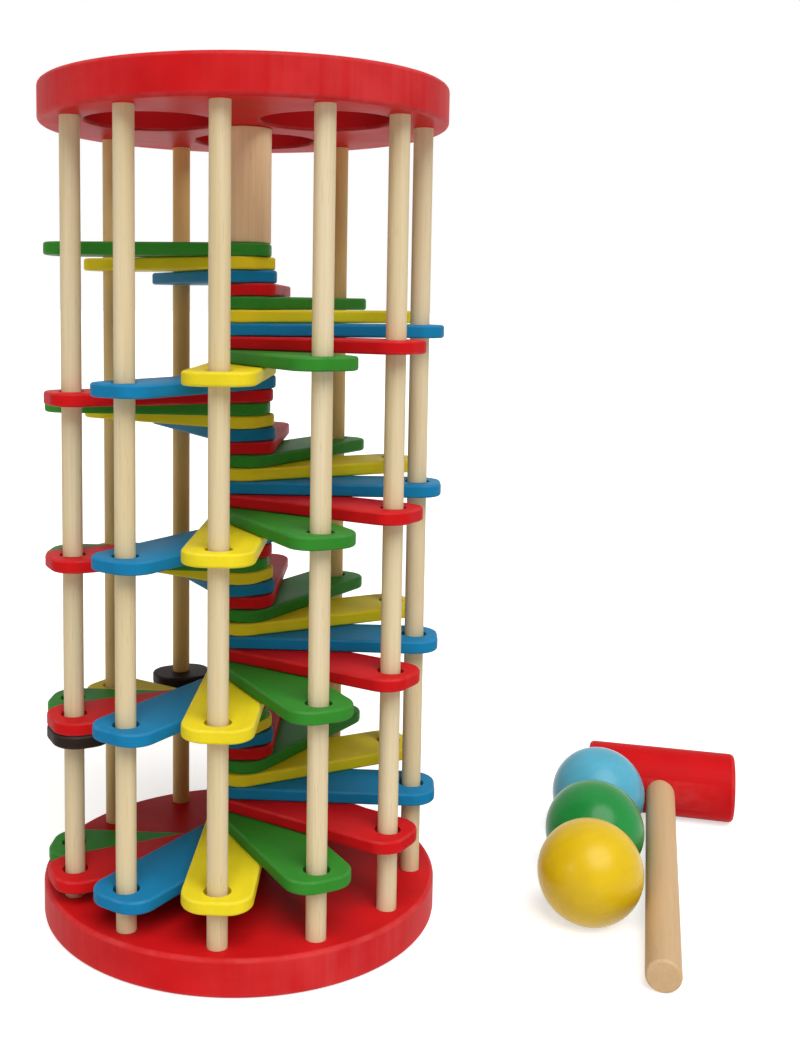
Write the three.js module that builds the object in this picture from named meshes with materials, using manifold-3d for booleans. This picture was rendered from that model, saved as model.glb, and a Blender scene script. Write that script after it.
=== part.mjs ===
// Wooden ball run tower with its balls and mallet.
// Two painted discs are held apart by a ring of dowels. Between them a spiral stair of painted slats
// is threaded on a rod, and a short post clamps the stair under the top disc.
// Millimetres, +Z up. The tower stands on its base at the origin and its front faces -Y.

import * as THREE from "three";
import { mergeVertices } from "three/addons/utils/BufferGeometryUtils.js";
import Module from "manifold-3d";

const wasm = await Module();
wasm.setup();

// Driving dimensions: the whole tower
const towerHeight = 236.3;

// Driving dimensions: balls and the room they run in
const ballDiameter = 30;
const runClearance = 9.9;
const ballHoleClearance = 3;
const ballHoleCount = 3;

// Driving dimensions: discs
const discThickness = 10.7;
const discRim = 7;
const discEdgeRadius = 2;

// Driving dimensions: dowels
const dowelCount = 12;
const dowelDiameter = 5.5;
const dowelSeatDepth = 6;
const frontDowelTurn = -6.7;

// Driving dimensions: slats, numbered from the top of the stair
const slatCount = 49;
const slatWidth = 19;
const slatCornerRadius = 7;
const slatOuterOverhang = 6.8;
const slatInnerOverhang = 7.8;
const topSlatTurn = 90;
const joinedSlatCount = 6;

// Driving dimensions: two dark stubs on dowels, one under a slat and one on the slat three steps on
const stubLength = 16.5;
const slatsOverLeftStubCount = 36;
const slatsOverBackStubCount = 38;

// Driving dimensions: post and rod in the middle
const postDiameter = 15.6;
const postLength = 32;
const rodDiameter = 8;
const rodSeatDepth = 6;

// Driving dimensions: mallet
const headDiameter = 23;
const headLength = 49;
const headEdgeRadius = 1.6;
const handleDiameter = 9.5;
const malletLength = 134;
const handleSeatDepth = 15;
const handleEndChamfer = 0.8;

// Driving dimensions: where the mallet and the balls lie beside the tower
const malletStandOff = 89.5;
const malletSetBack = 58;
const malletHeading = 18;
const lyingGap = 0.5;

// Clearances
const filmGap = 0.06;
const seatClearance = 0.1;
const rodClearance = 0.2;
const dowelClearance = 0.85;
const cutterOverrun = 1;

// Facets
const discFacets = 60;
const holeFacets = 40;
const smallHoleFacets = 12;
const dowelFacets = 16;
const edgeSteps = 3;
const cornerSteps = 3;
const ballFacets = 22;
const ballRings = 13;
const malletFacets = 28;

// Colours
const red = 0xcd191e;
const green = 0x2d8c2d;
const yellow = 0xebdc3c;
const blue = 0x238cbe;
const paleWood = 0xe1cda5;
const tanWood = 0xc8a582;
const darkPaint = 0x2b211e;
const slatColours = [green, yellow, blue, red];
const ballColours = { blue: 0x6ebee1, green: 0x239646, yellow: 0xebc81e };

// Sizes that follow
const ballRadius = ballDiameter / 2;
const postRadius = postDiameter / 2;
const dowelRadius = dowelDiameter / 2;
const rodRadius = rodDiameter / 2;
const headRadius = headDiameter / 2;
const handleRadius = handleDiameter / 2;
const runWidth = ballDiameter + runClearance;
const dowelRingRadius = postRadius + runWidth + dowelRadius;
const discRadius = dowelRingRadius + discRim;
const ballHoleRadius = ballRadius + ballHoleClearance;
const ballHoleRing = postRadius + runWidth / 2;
const topDiscUnderside = towerHeight - discThickness;
const innerHeight = topDiscUnderside - discThickness;
const postBottom = topDiscUnderside - filmGap - postLength;
const stairHeight = postBottom - filmGap - discThickness;
const slatPitch = stairHeight / slatCount;
const slatThickness = slatPitch - filmGap;
const slatOuterEnd = dowelRingRadius + slatOuterOverhang;
const dowelStep = (2 * Math.PI) / dowelCount;

const radians = (degrees) => (degrees * Math.PI) / 180;

// The angle about +Z of a dowel's place, counted from the front dowel towards the left.
const placeAngle = (place) => radians(frontDowelTurn) - place * dowelStep;

// A point at a distance from the tower's axis. Angle zero is the front, and angles grow to the right.
const polar = (radius, angle) => new THREE.Vector2(radius * Math.sin(angle), -radius * Math.cos(angle));

// The radius of a polygon whose flats, not its corners, lie at the given radius.
const overFlats = (radius, facets) => radius / Math.cos(Math.PI / facets);

// Points of an arc, both ends included.
function arcPoints(x, y, radius, from, to, steps) {
  const points = [];
  for (let i = 0; i <= steps; i += 1) {
    const angle = from + ((to - from) * i) / steps;
    points.push(new THREE.Vector2(x + radius * Math.cos(angle), y + radius * Math.sin(angle)));
  }
  return points;
}

// A closed geometry as a solid that can be joined and cut.
function toSolid(geometry) {
  const bare = new THREE.BufferGeometry();
  const flat = geometry.index ? geometry.toNonIndexed() : geometry;
  bare.setAttribute("position", flat.getAttribute("position").clone());
  const merged = mergeVertices(bare, 1e-4);
  const triVerts = new Uint32Array(merged.index.array);
  const vertProperties = merged.attributes.position.array;
  return new wasm.Manifold(new wasm.Mesh({ numProp: 3, vertProperties, triVerts }));
}

// A solid back as a geometry with flat faces.
function toGeometry(solid) {
  const mesh = solid.getMesh();
  const indexed = new THREE.BufferGeometry();
  indexed.setAttribute("position", new THREE.BufferAttribute(new Float32Array(mesh.vertProperties), 3));
  indexed.setIndex(new THREE.BufferAttribute(new Uint32Array(mesh.triVerts), 1));
  const geometry = indexed.toNonIndexed();
  geometry.computeVertexNormals();
  return geometry;
}

// A turned form about Z from a profile of radius and height.
function turned(profile, facets) {
  return new THREE.LatheGeometry(profile, facets).rotateX(Math.PI / 2);
}

// An upright round bar from one height to another.
function roundBar(radius, bottom, top, facets) {
  const bar = new THREE.CylinderGeometry(radius, radius, top - bottom, facets);
  return bar.rotateX(Math.PI / 2).translate(0, 0, (bottom + top) / 2);
}

// A cutter for a round hole that leaves the full radius between its flats.
function roundCutter(point, radius, bottom, top, facets) {
  const bar = roundBar(overFlats(radius, facets), bottom, top, facets);
  return toSolid(bar.translate(point.x, point.y, 0));
}

// A named mesh with its own material.
function makeMesh(name, geometry, color, roughness) {
  const material = new THREE.MeshStandardMaterial({ color, roughness, metalness: 0 });
  const mesh = new THREE.Mesh(geometry, material);
  mesh.name = name;
  return mesh;
}

// A plain disc with rounded rims, its underside at height zero.
function discBlank() {
  const inner = discRadius - discEdgeRadius;
  const upper = discThickness - discEdgeRadius;
  const quarter = Math.PI / 2;
  const profile = [
    new THREE.Vector2(0, 0),
    ...arcPoints(inner, discEdgeRadius, discEdgeRadius, -quarter, 0, edgeSteps),
    ...arcPoints(inner, upper, discEdgeRadius, 0, quarter, edgeSteps),
    new THREE.Vector2(0, discThickness),
  ];
  return toSolid(turned(profile, discFacets));
}

// Seats for the dowels and the rod, from one height to another for each.
function cutSeats(solid, dowelSpan, rodSpan) {
  let cut = solid;
  for (let place = 0; place < dowelCount; place += 1) {
    const point = polar(dowelRingRadius, placeAngle(place));
    const seat = roundCutter(point, dowelRadius + seatClearance, ...dowelSpan, smallHoleFacets);
    cut = cut.subtract(seat);
  }
  const middle = new THREE.Vector2(0, 0);
  return cut.subtract(roundCutter(middle, rodRadius + seatClearance, ...rodSpan, dowelFacets));
}

function makeBaseDisc() {
  const above = discThickness + cutterOverrun;
  const dowelSpan = [discThickness - dowelSeatDepth, above];
  const rodSpan = [discThickness - rodSeatDepth, above];
  return toGeometry(cutSeats(discBlank(), dowelSpan, rodSpan));
}

// The top disc has a round hole for each ball, between the post and the dowels.
function makeTopDisc() {
  const below = -cutterOverrun;
  const above = discThickness + cutterOverrun;
  let disc = cutSeats(discBlank(), [below, dowelSeatDepth], [below, rodSeatDepth]);
  for (let i = 0; i < ballHoleCount; i += 1) {
    const angle = radians(frontDowelTurn) + ((2 * i + 1) * Math.PI) / ballHoleCount;
    const point = polar(ballHoleRing, angle);
    disc = disc.subtract(roundCutter(point, ballHoleRadius, below, above, holeFacets));
  }
  return toGeometry(disc);
}

// A flat piece with rounded corners along +X, from one distance to another, with round holes through it.
// Its underside is at height zero.
function plateGeometry(inner, outer, holes, thickness) {
  const near = inner + slatCornerRadius;
  const far = outer - slatCornerRadius;
  const side = slatWidth / 2 - slatCornerRadius;
  const quarter = Math.PI / 2;
  const outline = new THREE.Shape([
    ...arcPoints(far, -side, slatCornerRadius, -quarter, 0, cornerSteps),
    ...arcPoints(far, side, slatCornerRadius, 0, quarter, cornerSteps),
    ...arcPoints(near, side, slatCornerRadius, quarter, 2 * quarter, cornerSteps),
    ...arcPoints(near, -side, slatCornerRadius, 2 * quarter, 3 * quarter, cornerSteps),
  ]);
  for (const [x, radius] of holes) {
    const corners = overFlats(radius, smallHoleFacets);
    const round = arcPoints(x, 0, corners, 0, -2 * Math.PI, smallHoleFacets);
    round.pop();
    outline.holes.push(new THREE.Path(round));
  }
  return new THREE.ExtrudeGeometry(outline, { depth: thickness, bevelEnabled: false });
}

// A straight slat from the tower's axis, with a hole for the rod near its inner end and a wider hole for
// the dowel near its outer end.
function slatGeometry(thickness) {
  const rodHole = [0, rodRadius + rodClearance];
  const dowelHole = [dowelRingRadius, dowelRadius + dowelClearance];
  return plateGeometry(-slatInnerOverhang, slatOuterEnd, [rodHole, dowelHole], thickness);
}

// A stub is shaped like the outer end of a slat, and grips its dowel.
function stubGeometry() {
  const dowelHole = [dowelRingRadius, dowelRadius + seatClearance];
  return plateGeometry(slatOuterEnd - stubLength, slatOuterEnd, [dowelHole], slatThickness);
}

// Two neighbouring slats as one piece. The upper one reaches down through the film between them.
function slatPairGeometry() {
  const bite = 2 * filmGap;
  const upper = toSolid(slatGeometry(slatThickness + bite).translate(0, 0, -bite));
  const lower = toSolid(slatGeometry(slatThickness).rotateZ(-dowelStep).translate(0, 0, -slatPitch));
  return toGeometry(upper.add(lower));
}

// Sets a slat or a stub at the height of one slat's layer and the angle of one slat's place.
function setInStair(mesh, layer, place) {
  mesh.rotation.z = placeAngle(place - 1) - radians(topSlatTurn) - Math.PI / 2;
  mesh.position.z = discThickness + filmGap + (slatCount - layer) * slatPitch;
  return mesh;
}

// The stair. The slats at the back of each turn are joined in twos, which keeps the piece count down.
function makeStair() {
  const stair = new THREE.Group();
  const single = slatGeometry(slatThickness);
  const pair = slatPairGeometry();
  const label = (number) => String(number).padStart(2, "0");
  for (let number = 1; number <= slatCount; number += 1) {
    const stepInTurn = (number - 1) % dowelCount;
    const joined = stepInTurn < joinedSlatCount;
    const isLower = joined && stepInTurn % 2 === 1;
    if (isLower) continue;
    const isUpper = joined && number < slatCount;
    const name = isUpper ? `slats_${label(number)}_${label(number + 1)}` : `slat_${label(number)}`;
    const colour = slatColours[(number - 1) % slatColours.length];
    const slat = makeMesh(name, isUpper ? pair : single, colour, 0.45);
    stair.add(setInStair(slat, number, number));
  }
  return stair;
}

// The left stub lies under the slat of its own place, and the back stub lies on the slat of its place.
function makeStubs() {
  const stubs = new THREE.Group();
  const stub = stubGeometry();
  const left = makeMesh("stub_left", stub, darkPaint, 0.5);
  const back = makeMesh("stub_back", stub, darkPaint, 0.5);
  stubs.add(setInStair(left, slatsOverLeftStubCount + 1, slatsOverLeftStubCount));
  stubs.add(setInStair(back, slatsOverBackStubCount, slatsOverBackStubCount + 1));
  return stubs;
}

function makeDowels() {
  const dowels = new THREE.Group();
  const length = innerHeight + 2 * dowelSeatDepth - 2 * seatClearance;
  const bar = roundBar(dowelRadius, 0, length, dowelFacets);
  for (let place = 0; place < dowelCount; place += 1) {
    const name = `dowel_${String(place + 1).padStart(2, "0")}`;
    const dowel = makeMesh(name, bar, paleWood, 0.6);
    const point = polar(dowelRingRadius, placeAngle(place));
    dowel.position.set(point.x, point.y, discThickness - dowelSeatDepth + seatClearance);
    dowels.add(dowel);
  }
  return dowels;
}

// The rod runs from the base through every slat and the post into the top disc.
function makeRod() {
  const bottom = discThickness - rodSeatDepth + seatClearance;
  const top = topDiscUnderside + rodSeatDepth - seatClearance;
  return makeMesh("centre_rod", roundBar(rodRadius, bottom, top, dowelFacets), paleWood, 0.6);
}

// The post is a thick sleeve on the rod between the top slat and the top disc.
function makePost() {
  const bore = overFlats(rodRadius + rodClearance, discFacets / 2);
  const profile = [
    new THREE.Vector2(bore, 0),
    new THREE.Vector2(postRadius, 0),
    new THREE.Vector2(postRadius, postLength),
    new THREE.Vector2(bore, postLength),
    new THREE.Vector2(bore, 0),
  ];
  const post = makeMesh("centre_post", turned(profile, discFacets / 2), tanWood, 0.6);
  post.position.z = postBottom;
  return post;
}

function makeTower() {
  const tower = new THREE.Group();
  tower.add(makeMesh("base_disc", makeBaseDisc(), red, 0.4));
  const top = makeMesh("top_disc", makeTopDisc(), red, 0.4);
  top.position.z = topDiscUnderside;
  tower.add(top, makeDowels(), makeStair(), makeStubs(), makeRod(), makePost());
  return tower;
}

// The mallet in its own frame: the head lies along X at the origin and the handle runs along -Y.
function makeMallet() {
  const mallet = new THREE.Group();
  const half = headLength / 2;
  const rim = headRadius - headEdgeRadius;
  const end = half - headEdgeRadius;
  const quarter = Math.PI / 2;
  const headProfile = [
    new THREE.Vector2(0, -half),
    ...arcPoints(rim, -end, headEdgeRadius, -quarter, 0, edgeSteps),
    ...arcPoints(rim, end, headEdgeRadius, 0, quarter, edgeSteps),
    new THREE.Vector2(0, half),
  ];
  const head = toSolid(new THREE.LatheGeometry(headProfile, malletFacets).rotateZ(-quarter));
  const socketRadius = overFlats(handleRadius + seatClearance, malletFacets);
  const socketBottom = handleSeatDepth - headRadius;
  const socketMouth = -headDiameter;
  const socket = new THREE.CylinderGeometry(
    socketRadius,
    socketRadius,
    socketBottom - socketMouth,
    malletFacets,
  );
  socket.translate(0, (socketBottom + socketMouth) / 2, 0);
  mallet.add(makeMesh("mallet_head", toGeometry(head.subtract(toSolid(socket))), red, 0.4));

  const butt = headRadius - malletLength;
  const handleProfile = [
    new THREE.Vector2(0, butt),
    new THREE.Vector2(handleRadius - handleEndChamfer, butt),
    new THREE.Vector2(handleRadius, butt + handleEndChamfer),
    new THREE.Vector2(handleRadius, socketBottom - seatClearance),
    new THREE.Vector2(0, socketBottom - seatClearance),
  ];
  const handle = new THREE.LatheGeometry(handleProfile, malletFacets);
  mallet.add(makeMesh("mallet_handle", handle, tanWood, 0.6));

  // The head and the handle's end both touch the ground, so the handle slopes a little.
  const reach = -butt - handleEndChamfer;
  const slope = Math.asin(headRadius / Math.hypot(reach, handleRadius)) - Math.atan2(handleRadius, reach);
  mallet.rotation.order = "ZYX";
  mallet.rotation.set(slope, 0, -radians(malletHeading));
  mallet.position.set(discRadius + malletStandOff, malletSetBack, headRadius);
  return mallet;
}

// The balls lie in a row along the handle, on the tower's side, the first one next to the head.
function makeBalls() {
  const balls = new THREE.Group();
  balls.rotation.z = -radians(malletHeading);
  balls.position.set(discRadius + malletStandOff, malletSetBack, ballRadius);
  Object.entries(ballColours).forEach(([name, colour], i) => {
    const round = new THREE.SphereGeometry(ballRadius, ballFacets, ballRings).rotateX(Math.PI / 2);
    const ball = makeMesh(`ball_${name}`, round, colour, 0.35);
    const sideways = handleRadius + lyingGap + ballRadius;
    const along = headRadius + lyingGap + ballRadius + i * (ballDiameter + lyingGap);
    ball.position.set(-sideways, -along, 0);
    balls.add(ball);
  });
  return balls;
}

const ballRun = new THREE.Group();
ballRun.add(makeTower(), makeMallet(), makeBalls());

export default ballRun;
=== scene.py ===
import math

import bmesh
import bpy
from mathutils import Matrix, Vector, noise


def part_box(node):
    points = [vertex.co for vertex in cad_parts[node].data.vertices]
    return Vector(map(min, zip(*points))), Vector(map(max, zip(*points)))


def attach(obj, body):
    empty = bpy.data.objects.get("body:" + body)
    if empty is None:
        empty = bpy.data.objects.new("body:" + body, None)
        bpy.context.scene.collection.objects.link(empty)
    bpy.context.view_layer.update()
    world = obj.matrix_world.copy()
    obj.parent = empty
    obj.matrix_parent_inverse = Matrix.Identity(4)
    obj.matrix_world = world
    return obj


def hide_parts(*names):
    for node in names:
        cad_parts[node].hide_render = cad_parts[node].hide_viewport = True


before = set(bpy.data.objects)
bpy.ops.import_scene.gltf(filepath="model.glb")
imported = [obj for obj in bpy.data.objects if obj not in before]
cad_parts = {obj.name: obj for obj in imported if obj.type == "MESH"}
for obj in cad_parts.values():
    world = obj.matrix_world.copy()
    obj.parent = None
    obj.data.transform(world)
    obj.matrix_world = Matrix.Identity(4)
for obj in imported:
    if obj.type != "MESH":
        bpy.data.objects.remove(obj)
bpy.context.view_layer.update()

mm = 0.001

# Sizes in metres. Those that a box in the frame shows are read from it further down.
slat_width = 19 * mm
slat_corner = 7 * mm
slat_outer_overhang = 6.8 * mm
slat_inner_overhang = 7.8 * mm
slat_edge = 0.75 * mm
slat_slack = 0.85 * mm
stub_length = 16.5 * mm
rod_slack = 0.2 * mm
seat_slack = 0.1 * mm
seat_depth = 6 * mm
seat_edge = 0.25 * mm
disc_edge = 1.3 * mm
ball_hole_radius = 18 * mm
ball_hole_edge = 0.9 * mm
bar_edge = 0.4 * mm
post_radius = 7.8 * mm
post_edge = 0.35 * mm
head_radius = 11.5 * mm
head_length = 49 * mm
head_edge = 1.6 * mm
handle_radius = 4.75 * mm
handle_seat = 15 * mm
handle_edge = 0.8 * mm
mallet_length = 134 * mm

# Sanding takes a share off the mallet, which keeps its finer facets inside the CAD box
mallet_sanding = 0.997
mallet_heading = math.radians(18)

# Counts and orders. A stub goes by the slat that it lies under or on.
dowel_count = 12
ball_hole_count = 3
top_slat_turn = math.radians(90)
slat_colours = ("green", "yellow", "blue", "red")
ball_colours = ("blue", "green", "yellow")
stub_slats = {"stub_left": 36, "stub_back": 39}

# The balls aren't quite round, and each lies turned its own way
ball_lump_share = 0.003
ball_lumps_per_metre = 90
ball_lump_shift = 7
ball_grain_turn = 0.7
ball_first_turn = 0.4
ball_turn_step = 1.3

# How finely shapes are drawn
disc_steps = 144
head_steps = 96
hole_steps = 72
post_steps = 64
bar_steps = 48
small_hole_steps = 40
corner_steps = 8
edge_steps = 4
ball_steps = 72
ball_rings = 44
merge_distance = 0.002 * mm
flat_tolerance = 0.001 * mm
sharp_angle = math.radians(40)

# Bends between two faces, in radians: where a point starts to count as an edge, and where it fully does
edge_bend_start = 0.2
edge_bend_full = 0.3

# How far along its plank each piece is cut, in metres, so that no two show the same grain
base_cut = 0.2
top_cut = 0.9
head_cut = 3.7
handle_cut = 4.4
rod_cut = 5.3
post_cut = 6.1
first_ball_cut = 8.3
dowel_cut_step = 0.31
slat_cut_step = 0.43
stub_cut_step = 0.57
plank_slant = Vector((1, 0.37, 0.61))

# Marks of the wood and the paint per metre, along the grain and across it, and the span that noise fills
paint_fibres = (22, 520, 520)
paint_patches = (48, 60, 60)
paint_dimples = (900, 900, 900)
paint_rubs = (160, 260, 260)
rim_scuffs = (420, 420, 20)
wood_bands = (7, 230, 230)
wood_fibres = (30, 1500, 1500)
wood_pores = (140, 2600, 2600)
noise_span = (0.3, 0.7)

# Wear and painted light as shares of a colour: painted shade on the ball-hole walls, a pale painted sheen
# on the disc rims that is least a little left of the front, painted warm bounce on the rear dowels, and the
# handle's own darker tone.
hole_painted_shade = 0.8
rim_sheen_share = (0.007, 0.031)
edge_fade = (0.03, 0.14)
least_rim_sheen = 0.1
least_sheen_turn = math.radians(-18)
rim_sheen_spread = math.radians(35)
rear_dowel_painted_bounce = 0.6
handle_warmth = 0.5

# Light: the floor's own grey, what lifts it to white where it is seen, the sky and two windows
white = (1, 1, 1, 1)
floor_size = 30
floor_drop = 0.05 * mm
floor_grey = 0.8
floor_lift = 0.6
sky_light = 0.2
sky_tint = (1, 0.9, 0.76, 1)
front_window = 2.95
left_window = 0.15

# The camera as fitted to the photo, in the photo's pixels: its frame, its lens and the point straight ahead
photo_width = 800
photo_height = 1051
focal_pixels = 1250.46
ahead_x = 300
ahead_y = 430
sensor_size = 36
camera_distance = 360.23 * mm
camera_height = 165.55 * mm
camera_pan = math.radians(2.6396)
camera_tilt = math.radians(5.7009)
camera_roll = math.radians(-0.5756)
camera_near = 0.01


def middle(node):
    low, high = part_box(node)
    return (low + high) / 2


def polar(radius, angle):
    """A point round the tower's axis. Angle zero is the front, and angles grow to the right."""
    return Vector((radius * math.sin(angle), -radius * math.cos(angle), 0))


base_low, base_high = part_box("base_disc")
top_low, top_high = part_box("top_disc")
dowel_low, dowel_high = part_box("dowel_01")
rod_low, rod_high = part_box("centre_rod")
post_low, post_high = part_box("centre_post")
slat_low, slat_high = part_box("slat_08")
next_slat_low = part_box("slat_07")[0]
disc_radius = (base_high.x - base_low.x) / 2
dowel_radius = (dowel_high.x - dowel_low.x) / 2
rod_radius = (rod_high.x - rod_low.x) / 2
front_dowel = middle("dowel_01")
dowel_ring = math.hypot(front_dowel.x, front_dowel.y)
front_turn = math.atan2(front_dowel.x, -front_dowel.y)
dowel_step = math.tau / dowel_count
dowel_points = [polar(dowel_ring, front_turn - place * dowel_step) for place in range(dowel_count)]
ball_hole_ring = (post_radius + dowel_ring - dowel_radius) / 2
ball_hole_turns = [(2 * hole + 1) * math.pi / ball_hole_count for hole in range(ball_hole_count)]
ball_hole_points = [polar(ball_hole_ring, front_turn + turn) for turn in ball_hole_turns]
slat_thickness = slat_high.z - slat_low.z
slat_pitch = next_slat_low.z - slat_low.z
slat_outer_end = dowel_ring + slat_outer_overhang
slat_nodes = {
    int(number): name
    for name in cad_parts
    if name.startswith("slat")
    for number in name.split("_")[1:]
}
lowest_slat = max(slat_nodes)

along_x = Matrix.Rotation(math.radians(90), 4, "Y")
along_y = Matrix.Rotation(math.radians(90), 4, "X")


# Shapes


def arc(radius, height, size, start, end):
    """Profile points of a quarter round about (radius, height), from one angle in degrees to another."""
    angles = [math.radians(start + (end - start) * i / edge_steps) for i in range(edge_steps + 1)]
    return [(radius + size * math.cos(a), height + size * math.sin(a)) for a in angles]


def rim_profile(radius, low, high, edge):
    return arc(radius - edge, low + edge, edge, -90, 0) + arc(radius - edge, high - edge, edge, 0, 90)


def hole_profile(radius, low, high, edge):
    return arc(radius + edge, low + edge, edge, 270, 180) + arc(radius + edge, high - edge, edge, 180, 90)


def bar_profile(radius, low, high, edge):
    return [(0, low)] + rim_profile(radius, low, high, edge) + [(0, high)]


def seat_profile(radius, mouth, way):
    """A blind seat with a rounded mouth. Its way is 1 for upwards and -1 for downwards."""
    lip = arc(radius + seat_edge, mouth + way * seat_edge, seat_edge, -90 * way, -180 * way)
    bottom = mouth + way * seat_depth
    return lip + [(radius, bottom), (0, bottom)]


def turned_wall(bm, profile, centre=(0, 0), steps=bar_steps):
    """Spins a profile of radius and height about an upright axis."""
    points = [bm.verts.new((centre[0] + radius, centre[1], height)) for radius, height in profile]
    line = [bm.edges.new(pair) for pair in zip(points, points[1:])]
    bmesh.ops.spin(
        bm,
        geom=points + line,
        cent=(centre[0], centre[1], 0),
        axis=(0, 0, 1),
        angle=math.tau,
        steps=steps,
        use_merge=True,
    )


def close_flat(bm, height):
    """Fills the flat face at one height between all the rims that end there."""
    rims = [
        edge
        for edge in bm.edges
        if edge.is_boundary and all(abs(v.co.z - height) < flat_tolerance for v in edge.verts)
    ]
    bmesh.ops.triangle_fill(bm, edges=rims, use_beauty=True, use_dissolve=False)


def tidy_shape(bm):
    bmesh.ops.remove_doubles(bm, verts=bm.verts, dist=merge_distance)
    bmesh.ops.recalc_face_normals(bm, faces=bm.faces)


def bar_shape(radius, low, high, edge, steps=bar_steps):
    bm = bmesh.new()
    turned_wall(bm, bar_profile(radius, low, high, edge), steps=steps)
    tidy_shape(bm)
    return bm


def turn_shape(bm, matrix):
    bmesh.ops.transform(bm, matrix=matrix, verts=bm.verts)


def mark_grain(bm, cut, turn=Matrix()):
    """Keeps where a point lies in the piece's own wood, grain along x, and whether it lies on an edge."""
    grain = bm.verts.layers.float_vector.new("grain")
    edge = bm.verts.layers.float.new("edge")
    for vert in bm.verts:
        vert[grain] = turn @ vert.co + cut * plank_slant
        bend = max(e.calc_face_angle(0) for e in vert.link_edges)
        vert[edge] = min(1, max(0, (bend - edge_bend_start) / (edge_bend_full - edge_bend_start)))


def mark_each(bm, name, value_at):
    """Keeps a value at each point, worked out from where the point lies."""
    layer = bm.verts.layers.float.new(name)
    for vert in bm.verts:
        vert[layer] = value_at(vert.co)


def finish_piece(bm, name, body, node, material, place=Matrix()):
    """Makes the mesh into a piece of the toy, in place."""
    turn_shape(bm, place)
    mesh = bpy.data.meshes.new(name)
    bm.to_mesh(mesh)
    bm.free()
    mesh.materials.append(material)
    mesh.shade_smooth()
    mesh.set_sharp_from_angle(angle=sharp_angle)
    piece = bpy.data.objects.new(name, mesh)
    bpy.context.scene.collection.objects.link(piece)
    weighted = piece.modifiers.new("flat faces stay flat", "WEIGHTED_NORMAL")
    weighted.keep_sharp = True
    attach(piece, body)
    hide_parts(node)


# Materials


def srgb(red, green, blue):
    """A colour as a screen shows it, 0 to 255, in the renderer's own terms."""
    parts = [c / 255 for c in (red, green, blue)]
    return [c / 12.92 if c <= 0.04045 else ((c + 0.055) / 1.055) ** 2.4 for c in parts] + [1]


def shade(colour, share):
    return [min(1, c * share) for c in colour[:3]] + [1]


def tint(colour, share):
    return [c + (1 - c) * share for c in colour[:3]] + [1]


def add_node(tree, kind, values=None, **settings):
    made = tree.nodes.new(kind)
    for name, value in settings.items():
        setattr(made, name, value)
    for socket, value in (values or {}).items():
        if isinstance(value, bpy.types.NodeSocket):
            tree.links.new(value, made.inputs[socket])
        else:
            made.inputs[socket].default_value = value
    return made


def marked(tree, name):
    """A value that the piece keeps at its points, or zero where it keeps none."""
    return add_node(tree, "ShaderNodeAttribute", attribute_name=name).outputs["Fac"]


def wood_noise(tree, stretch, detail, roughness=0.55):
    """Noise in the piece's own wood. Its size along and across the grain follows the stretch, per metre."""
    grain = add_node(tree, "ShaderNodeAttribute", attribute_name="grain")
    mapping = add_node(tree, "ShaderNodeMapping", {"Vector": grain.outputs["Vector"], "Scale": stretch})
    values = {"Vector": mapping.outputs[0], "Scale": 1.0, "Detail": detail, "Roughness": roughness}
    return add_node(tree, "ShaderNodeTexNoise", values).outputs[0]


def in_range(tree, value, old, new):
    """Moves a value from one range to another, and keeps it inside."""
    values = {"Value": value, "From Min": old[0], "From Max": old[1], "To Min": new[0], "To Max": new[1]}
    return add_node(tree, "ShaderNodeMapRange", values).outputs[0]


def mixed_colour(tree, share, first, second):
    """A mix of two colours. The colour sockets of a Mix node are its numbers 6 and 7, and 2 comes out."""
    values = {0: share, 6: first, 7: second}
    return add_node(tree, "ShaderNodeMix", values, data_type="RGBA").outputs[2]


def maths(tree, operation, first, second):
    return add_node(tree, "ShaderNodeMath", {0: first, 1: second}, operation=operation).outputs[0]


def raise_grain(tree, shader, height, strength, depth):
    bump = add_node(tree, "ShaderNodeBump", {"Strength": strength, "Distance": depth, "Height": height})
    tree.links.new(bump.outputs[0], shader.inputs["Normal"])


def new_finish(name):
    material = bpy.data.materials.new(name)
    material.use_nodes = True
    return material, material.node_tree, material.node_tree.nodes["Principled BSDF"]


def painted_wood(name, colour, roughness=0.45, specular=0.04):
    """Satin paint on wood: the grain shows through a little, and the coat is thinner on edges."""
    material, tree, shader = new_finish(name)
    fibres = wood_noise(tree, paint_fibres, detail=4)
    coat = wood_noise(tree, paint_patches, detail=2)
    dimples = wood_noise(tree, paint_dimples, detail=2)
    scuffs = wood_noise(tree, rim_scuffs, detail=3)
    rubs = wood_noise(tree, paint_rubs, detail=3)

    thickness = in_range(tree, coat, noise_span, (0, 1))
    uneven = mixed_colour(tree, thickness, shade(colour, 0.9), shade(colour, 1.08))
    fibre_share = in_range(tree, fibres, (0.35, 0.75), (0, 0.22))
    streaked = mixed_colour(tree, fibre_share, uneven, shade(colour, 0.72))
    # Ball-hole walls darken: painted shade, where little light reaches into the holes
    shade_share = maths(tree, "MULTIPLY", marked(tree, "painted_hole_shade"), hole_painted_shade)
    hole_darkened = mixed_colour(tree, shade_share, streaked, shade(colour, 0.3))
    # Rims pale towards white in scuffed patches: painted sheen, most where a rim is seen at a slant
    sheen_amount = in_range(tree, maths(tree, "ADD", coat, scuffs), (0.7, 1.3), rim_sheen_share)
    sheened = mixed_colour(tree, maths(tree, "MULTIPLY", marked(tree, "painted_rim_sheen"), sheen_amount), hole_darkened, white)
    thin = maths(tree, "MULTIPLY", marked(tree, "edge"), in_range(tree, rubs, (0.4, 0.8), edge_fade))
    rubbed = mixed_colour(tree, thin, sheened, tint(colour, 0.3))
    gloss = in_range(tree, coat, noise_span, (roughness - 0.05, roughness + 0.07))

    tree.links.new(rubbed, shader.inputs["Base Color"])
    tree.links.new(gloss, shader.inputs["Roughness"])
    shader.inputs["Specular IOR Level"].default_value = specular
    relief = maths(tree, "ADD", fibres, maths(tree, "MULTIPLY", dimples, 0.35))
    raise_grain(tree, shader, relief, strength=0.12, depth=0.2 * mm)
    return material


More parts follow.
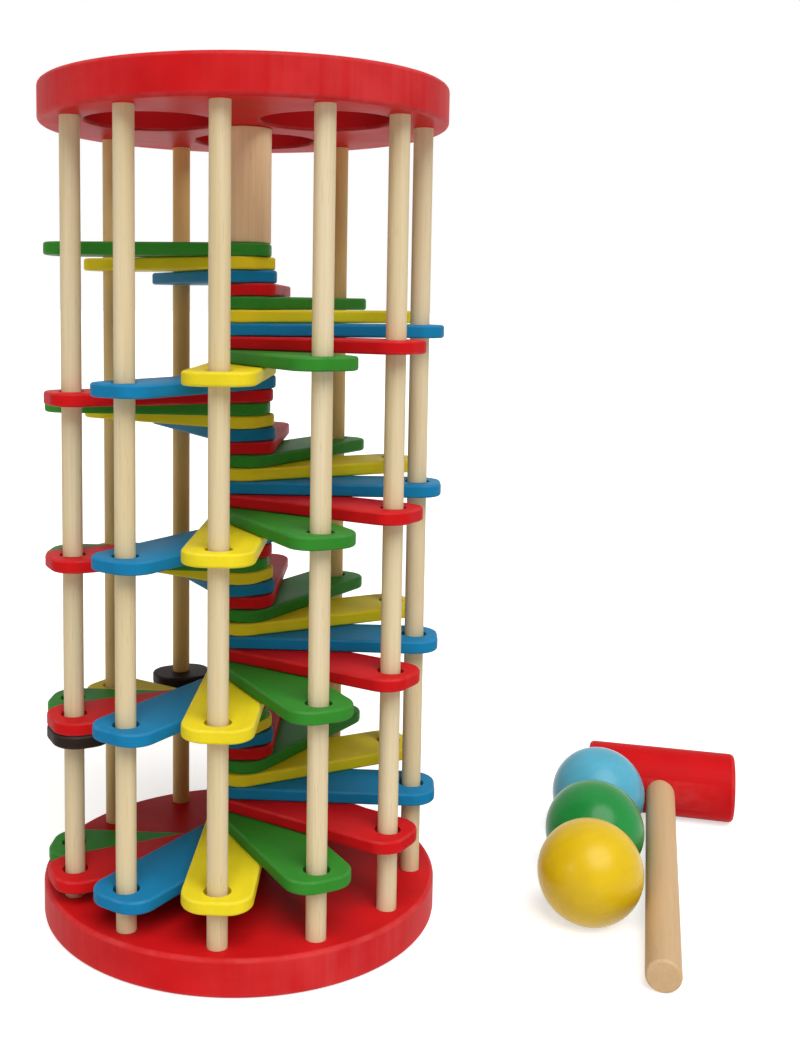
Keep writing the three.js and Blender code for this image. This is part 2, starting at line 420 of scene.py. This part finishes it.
def bare_wood(name, pale, mid, dark, warm, roughness=0.6, specular=0.3):
    """Sanded wood: bands of growth and fine fibres along the piece, with short dark pores."""
    material, tree, shader = new_finish(name)
    bands = wood_noise(tree, wood_bands, detail=2)
    fibres = wood_noise(tree, wood_fibres, detail=4, roughness=0.65)
    pores = wood_noise(tree, wood_pores, detail=1)

    tone = mixed_colour(tree, in_range(tree, bands, (0.32, 0.7), (0, 1)), pale, mid)
    lined = mixed_colour(tree, in_range(tree, fibres, (0.45, 0.8), (0, 0.24)), tone, dark)
    dotted = mixed_colour(tree, in_range(tree, pores, (0.66, 0.76), (0, 0.25)), lined, shade(dark, 0.8))
    # Mixing towards the warm colour: on the mallet handle its own darker tone, on the rear dowels painted
    # warm bounce light in their shade
    warmed = mixed_colour(tree, marked(tree, "warmth_and_painted_bounce"), dotted, warm)
    gloss = in_range(tree, fibres, noise_span, (roughness - 0.06, roughness + 0.1))

    tree.links.new(warmed, shader.inputs["Base Color"])
    tree.links.new(gloss, shader.inputs["Roughness"])
    shader.inputs["Specular IOR Level"].default_value = specular
    raise_grain(tree, shader, fibres, strength=0.2, depth=0.15 * mm)
    return material


def ball_paint(name, colour):
    """The balls are glossier than the rest."""
    return painted_wood(name, colour, roughness=0.27, specular=0.22)


paints = {
    "red": painted_wood("red paint", srgb(205, 24, 28)),
    "green": painted_wood("green paint", srgb(54, 137, 46)),
    "yellow": painted_wood("yellow paint", srgb(237, 216, 40)),
    "blue": painted_wood("blue paint", srgb(25, 126, 176)),
}
ball_paints = {
    "blue": ball_paint("light blue ball paint", srgb(86, 170, 198)),
    "green": ball_paint("green ball paint", srgb(30, 138, 62)),
    "yellow": ball_paint("yellow ball paint", srgb(222, 186, 22)),
}
dark_paint = painted_wood("dark paint", srgb(46, 36, 32))
dowel_wood = bare_wood(
    "dowel wood",
    pale=srgb(228, 212, 178),
    mid=srgb(217, 198, 154),
    dark=srgb(197, 150, 84),
    # The warm colour is painted bounce light for the rear dowels
    warm=srgb(238, 188, 84),
)
# The post's wood is warmer and more orange than the dowels': painted red bounce light on the post, which
# stands in the top disc's shade. On the mallet handle it is the wood's own tone.
post_wood = bare_wood(
    "post wood",
    pale=srgb(240, 208, 166),
    mid=srgb(228, 192, 148),
    dark=srgb(174, 140, 98),
    warm=srgb(174, 140, 98),
)


# The tower


def rim_painted_sheen(point):
    """How much painted sheen a disc's outer wall gets: least a little left of the front, and most at its
    sides, where it is seen at a slant.
    """
    on_wall = max(0, 1 - (disc_radius - point.xy.length) / disc_edge)
    turn = abs(math.atan2(point.x, -point.y) - least_sheen_turn)
    return on_wall * (least_rim_sheen + (1 - least_rim_sheen) * min(1, turn / rim_sheen_spread))


def in_ball_hole(point):
    """One on the wall of a ball hole, falling to zero across its rounded edges: where painted shade darkens
    the hole walls.
    """
    outside = min((point.xy - centre.xy).length for centre in ball_hole_points) - ball_hole_radius
    return max(0, 1 - outside / ball_hole_edge)


def drill_seats(bm, mouth, way):
    """Blind seats in a disc for the dowels and the rod."""
    for point in dowel_points:
        turned_wall(bm, seat_profile(dowel_radius + seat_slack, mouth, way), point.xy, small_hole_steps)
    turned_wall(bm, seat_profile(rod_radius + seat_slack, mouth, way), steps=small_hole_steps)


def make_base_disc():
    bm = bmesh.new()
    turned_wall(bm, rim_profile(disc_radius, base_low.z, base_high.z, disc_edge), steps=disc_steps)
    drill_seats(bm, base_high.z, -1)
    close_flat(bm, base_low.z)
    close_flat(bm, base_high.z)
    tidy_shape(bm)
    mark_grain(bm, base_cut)
    mark_each(bm, "painted_rim_sheen", rim_painted_sheen)
    finish_piece(bm, "painted_base", "tower", "base_disc", paints["red"])


def make_top_disc():
    bm = bmesh.new()
    turned_wall(bm, rim_profile(disc_radius, top_low.z, top_high.z, disc_edge), steps=disc_steps)
    for centre in ball_hole_points:
        hole = hole_profile(ball_hole_radius, top_low.z, top_high.z, ball_hole_edge)
        turned_wall(bm, hole, centre.xy, hole_steps)
    drill_seats(bm, top_low.z, 1)
    close_flat(bm, top_low.z)
    close_flat(bm, top_high.z)
    tidy_shape(bm)
    mark_grain(bm, top_cut)
    mark_each(bm, "painted_rim_sheen", rim_painted_sheen)
    # The ball-hole walls carry painted shade
    mark_each(bm, "painted_hole_shade", in_ball_hole)
    finish_piece(bm, "painted_top", "tower", "top_disc", paints["red"])


def make_dowels():
    """The rear dowels are tinted warmer than the front ones: painted warm bounce light in their shade."""
    for place, point in enumerate(dowel_points):
        bm = bar_shape(dowel_radius, dowel_low.z, dowel_high.z, bar_edge)
        mark_grain(bm, dowel_cut_step * place, along_x)
        warmth_and_painted_bounce = max(0, rear_dowel_painted_bounce * point.y / dowel_ring)
        mark_each(bm, "warmth_and_painted_bounce", lambda _: warmth_and_painted_bounce)
        number = f"{place + 1:02d}"
        at = Matrix.Translation(point)
        finish_piece(bm, f"upright_{number}", "tower", f"dowel_{number}", dowel_wood, at)


def make_rod_and_post():
    rod = bar_shape(rod_radius, rod_low.z, rod_high.z, bar_edge)
    mark_grain(rod, rod_cut, along_x)
    finish_piece(rod, "middle_rod", "tower", "centre_rod", dowel_wood)

    post = bmesh.new()
    turned_wall(post, rim_profile(post_radius, post_low.z, post_high.z, post_edge), steps=post_steps)
    turned_wall(post, hole_profile(rod_radius + rod_slack, post_low.z, post_high.z, post_edge))
    close_flat(post, post_low.z)
    close_flat(post, post_high.z)
    tidy_shape(post)
    mark_grain(post, post_cut, along_x)
    finish_piece(post, "middle_post", "tower", "centre_post", post_wood)


def plate_outline(bm, inner, outer, inset, height):
    """A slat's rounded outline, drawn in by an inset, as a loop of edges at one height."""
    middle_x = (outer + inner) / 2
    half_length = (outer - inner) / 2 - inset
    half_width = slat_width / 2 - inset
    fit = Matrix.Translation((middle_x, 0, height)) @ Matrix.Diagonal((half_length, half_width, 1, 1))
    plate = bmesh.ops.create_grid(bm, x_segments=1, y_segments=1, size=1, matrix=fit)
    rounded = bmesh.ops.bevel(
        bm,
        geom=plate["verts"],
        offset=slat_corner - inset,
        offset_type="OFFSET",
        affect="VERTICES",
        segments=corner_steps,
        profile=0.5,
        material=-1,
    )
    faces = {face for vert in rounded["verts"] for face in vert.link_faces}
    loop = list({edge for face in faces for edge in face.edges})
    bmesh.ops.delete(bm, geom=list(faces), context="FACES_ONLY")
    return loop


def plate_shape(inner, outer, holes):
    """A slat or stub along +x from the tower's axis, its underside at height zero."""
    bm = bmesh.new()
    loops = [
        plate_outline(bm, inner, outer, slat_edge - out, height)
        for out, height in rim_profile(slat_edge, 0, slat_thickness, slat_edge)
    ]
    for lower, upper in zip(loops, loops[1:]):
        bmesh.ops.bridge_loops(bm, edges=lower + upper)
    for x, radius in holes:
        turned_wall(bm, hole_profile(radius, 0, slat_thickness, seat_edge), (x, 0), small_hole_steps)
    close_flat(bm, 0)
    close_flat(bm, slat_thickness)
    tidy_shape(bm)
    return bm


def slat_shape():
    holes = ((0, rod_radius + rod_slack), (dowel_ring, dowel_radius + slat_slack))
    return plate_shape(-slat_inner_overhang, slat_outer_end, holes)


def stub_shape():
    hole = (dowel_ring, dowel_radius + seat_slack)
    return plate_shape(slat_outer_end - stub_length, slat_outer_end, [hole])


def in_stair(number, height):
    """Where the slat of a number lies, counted from the top, with its underside at a height."""
    angle = front_turn - top_slat_turn - (number - 1) * dowel_step
    return Matrix.Translation((0, 0, height)) @ Matrix.Rotation(angle - math.pi / 2, 4, "Z")


def make_stair():
    pattern = slat_shape()
    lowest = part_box(slat_nodes[lowest_slat])[0].z
    for number in sorted(slat_nodes):
        colour = slat_colours[(number - 1) % len(slat_colours)]
        place = in_stair(number, lowest + (lowest_slat - number) * slat_pitch)
        bm = pattern.copy()
        mark_grain(bm, slat_cut_step * number)
        name = f"painted_slat_{number:02d}"
        finish_piece(bm, name, "tower", slat_nodes[number], paints[colour], place)
    pattern.free()


def make_stubs():
    """Two dark stubs, each tight on its own dowel."""
    for node, number in stub_slats.items():
        bm = stub_shape()
        mark_grain(bm, stub_cut_step * number)
        place = in_stair(number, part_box(node)[0].z)
        finish_piece(bm, f"painted_{node}", "tower", node, dark_paint, place)


# The balls and the mallet


def make_balls():
    for order, colour in enumerate(ball_colours):
        node = f"ball_{colour}"
        low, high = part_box(node)
        bm = bmesh.new()
        radius = (high.z - low.z) / 2
        bmesh.ops.create_uvsphere(bm, u_segments=ball_steps, v_segments=ball_rings, radius=radius)
        own_lumps = Vector((order * ball_lump_shift, 0, 0))
        for vert in bm.verts:
            lump = noise.noise(vert.co * ball_lumps_per_metre + own_lumps)
            vert.co *= 1 - ball_lump_share * (1 + lump) / 2
        bmesh.ops.recalc_face_normals(bm, faces=bm.faces)
        mark_grain(bm, first_ball_cut + order, Matrix.Rotation(ball_grain_turn + order, 4, "Y"))
        lie = Matrix.Rotation(ball_first_turn + ball_turn_step * order, 4, "X")
        place = Matrix.Translation(middle(node)) @ lie
        finish_piece(bm, f"painted_{node}", node, node, ball_paints[colour], place)


def mallet_place():
    """Head and butt both touch the ground, so the handle slopes a little."""
    reach = mallet_length - head_radius - handle_edge
    slope = math.asin(head_radius / math.hypot(reach, handle_radius)) - math.atan2(handle_radius, reach)
    turn = Matrix.Rotation(-mallet_heading, 4, "Z") @ Matrix.Rotation(slope, 4, "X")
    return Matrix.Translation(middle("mallet_head")) @ turn @ Matrix.Scale(mallet_sanding, 4)


def cut_socket(bm, cutter):
    """Cuts one closed shape out of another."""
    pieces = []
    for name, shape in (("head blank", bm), ("drill", cutter)):
        mesh = bpy.data.meshes.new(name)
        shape.to_mesh(mesh)
        shape.free()
        piece = bpy.data.objects.new(name, mesh)
        bpy.context.scene.collection.objects.link(piece)
        pieces.append(piece)
    blank, drill = pieces
    cut = blank.modifiers.new("socket", "BOOLEAN")
    cut.operation = "DIFFERENCE"
    cut.solver = "EXACT"
    cut.object = drill
    done = bmesh.new()
    done.from_object(blank, bpy.context.evaluated_depsgraph_get())
    for piece in pieces:
        mesh = piece.data
        bpy.data.objects.remove(piece)
        bpy.data.meshes.remove(mesh)
    tidy_shape(done)
    return done


def make_mallet():
    """The head lies along x and the handle along y, until both are put in place."""
    place = mallet_place()
    socket_end = head_radius - handle_seat

    blank = bar_shape(head_radius, -head_length / 2, head_length / 2, head_edge, head_steps)
    turn_shape(blank, along_x)
    drill = bar_shape(handle_radius + seat_slack, socket_end, 2 * head_radius, bar_edge)
    turn_shape(drill, along_y)
    head = cut_socket(blank, drill)
    mark_grain(head, head_cut)
    finish_piece(head, "painted_mallet_head", "mallet", "mallet_head", paints["red"], place)

    handle = bar_shape(handle_radius, socket_end + seat_slack, mallet_length - head_radius, handle_edge)
    mark_grain(handle, handle_cut, along_x)
    mark_each(handle, "warmth_and_painted_bounce", lambda _: handle_warmth)
    turn_shape(handle, along_y)
    finish_piece(handle, "mallet_grip", "mallet", "mallet_handle", post_wood, place)


# The studio


def seen_directly(tree):
    """One for what is seen, straight or mirrored, and zero for light that falls on the toy."""
    path = add_node(tree, "ShaderNodeLightPath")
    direct = maths(tree, "MAXIMUM", path.outputs["Is Camera Ray"], path.outputs["Is Transmission Ray"])
    return maths(tree, "MAXIMUM", direct, path.outputs["Is Glossy Ray"])


def make_floor():
    bm = bmesh.new()
    bmesh.ops.create_grid(bm, x_segments=1, y_segments=1, size=floor_size)
    mesh = bpy.data.meshes.new("floor")
    bm.to_mesh(mesh)
    bm.free()
    material, tree, shader = new_finish("floor paper")
    shader.inputs["Base Color"].default_value = (floor_grey, floor_grey, floor_grey, 1)
    shader.inputs["Roughness"].default_value = 0.9
    shader.inputs["Specular IOR Level"].default_value = 0
    shader.inputs["Emission Color"].default_value = white
    lift = maths(tree, "MULTIPLY", seen_directly(tree), floor_lift)
    tree.links.new(lift, shader.inputs["Emission Strength"])
    mesh.materials.append(material)
    floor = bpy.data.objects.new("floor", mesh)
    floor.location.z = -floor_drop
    bpy.context.scene.collection.objects.link(floor)


def hang_lamp(name, strength, width, lean, turn):
    """A far window, in degrees: how wide it looks, its lean from overhead and its turn to the right."""
    lamp = bpy.data.lights.new(name, "SUN")
    lamp.energy = strength
    lamp.angle = math.radians(width)
    window = bpy.data.objects.new(name, lamp)
    window.rotation_euler = (math.radians(lean), 0, math.radians(turn))
    bpy.context.scene.collection.objects.link(window)


def light_studio():
    world = bpy.data.worlds.new("studio")
    bpy.context.scene.world = world
    world.use_nodes = True
    tree = world.node_tree
    soft = tree.nodes["Background"]
    soft.inputs["Color"].default_value = sky_tint
    soft.inputs["Strength"].default_value = sky_light
    seen = add_node(tree, "ShaderNodeBackground", {"Color": white, "Strength": 1.0})
    shares = {0: seen_directly(tree), 1: soft.outputs[0], 2: seen.outputs[0]}
    mix = add_node(tree, "ShaderNodeMixShader", shares)
    tree.links.new(mix.outputs[0], tree.nodes["World Output"].inputs["Surface"])
    hang_lamp("front window", front_window, width=50, lean=36, turn=14)
    hang_lamp("left window", left_window, width=9, lean=68, turn=-62)


def place_camera():
    """The camera stands where the photo was taken from, with its lens shifted to the same frame."""
    level = Vector((math.cos(camera_pan), -math.sin(camera_pan), 0))
    ahead = Vector((math.sin(camera_pan), math.cos(camera_pan), 0))
    forward = ahead * math.cos(camera_tilt) - Vector((0, 0, math.sin(camera_tilt)))
    above = level.cross(forward)
    across = level * math.cos(camera_roll) - above * math.sin(camera_roll)
    upward = level * math.sin(camera_roll) + above * math.cos(camera_roll)
    turn = Matrix((across, upward, -forward)).transposed().to_4x4()
    camera = bpy.data.cameras.new("camera")
    camera.sensor_width = sensor_size
    camera.lens = focal_pixels * sensor_size / photo_height
    camera.shift_x = (photo_width / 2 - ahead_x) / photo_height
    camera.shift_y = (ahead_y - photo_height / 2) / photo_height
    camera.clip_start = camera_near
    eye = bpy.data.objects.new("camera", camera)
    eye.matrix_world = Matrix.Translation((0, -camera_distance, camera_height + base_high.z)) @ turn
    bpy.context.scene.collection.objects.link(eye)
    bpy.context.scene.camera = eye
    bpy.context.scene.view_settings.view_transform = "Standard"


make_base_disc()
make_top_disc()
make_dowels()
make_rod_and_post()
make_stair()
make_stubs()
make_balls()
make_mallet()
make_floor()
light_studio()
place_camera()
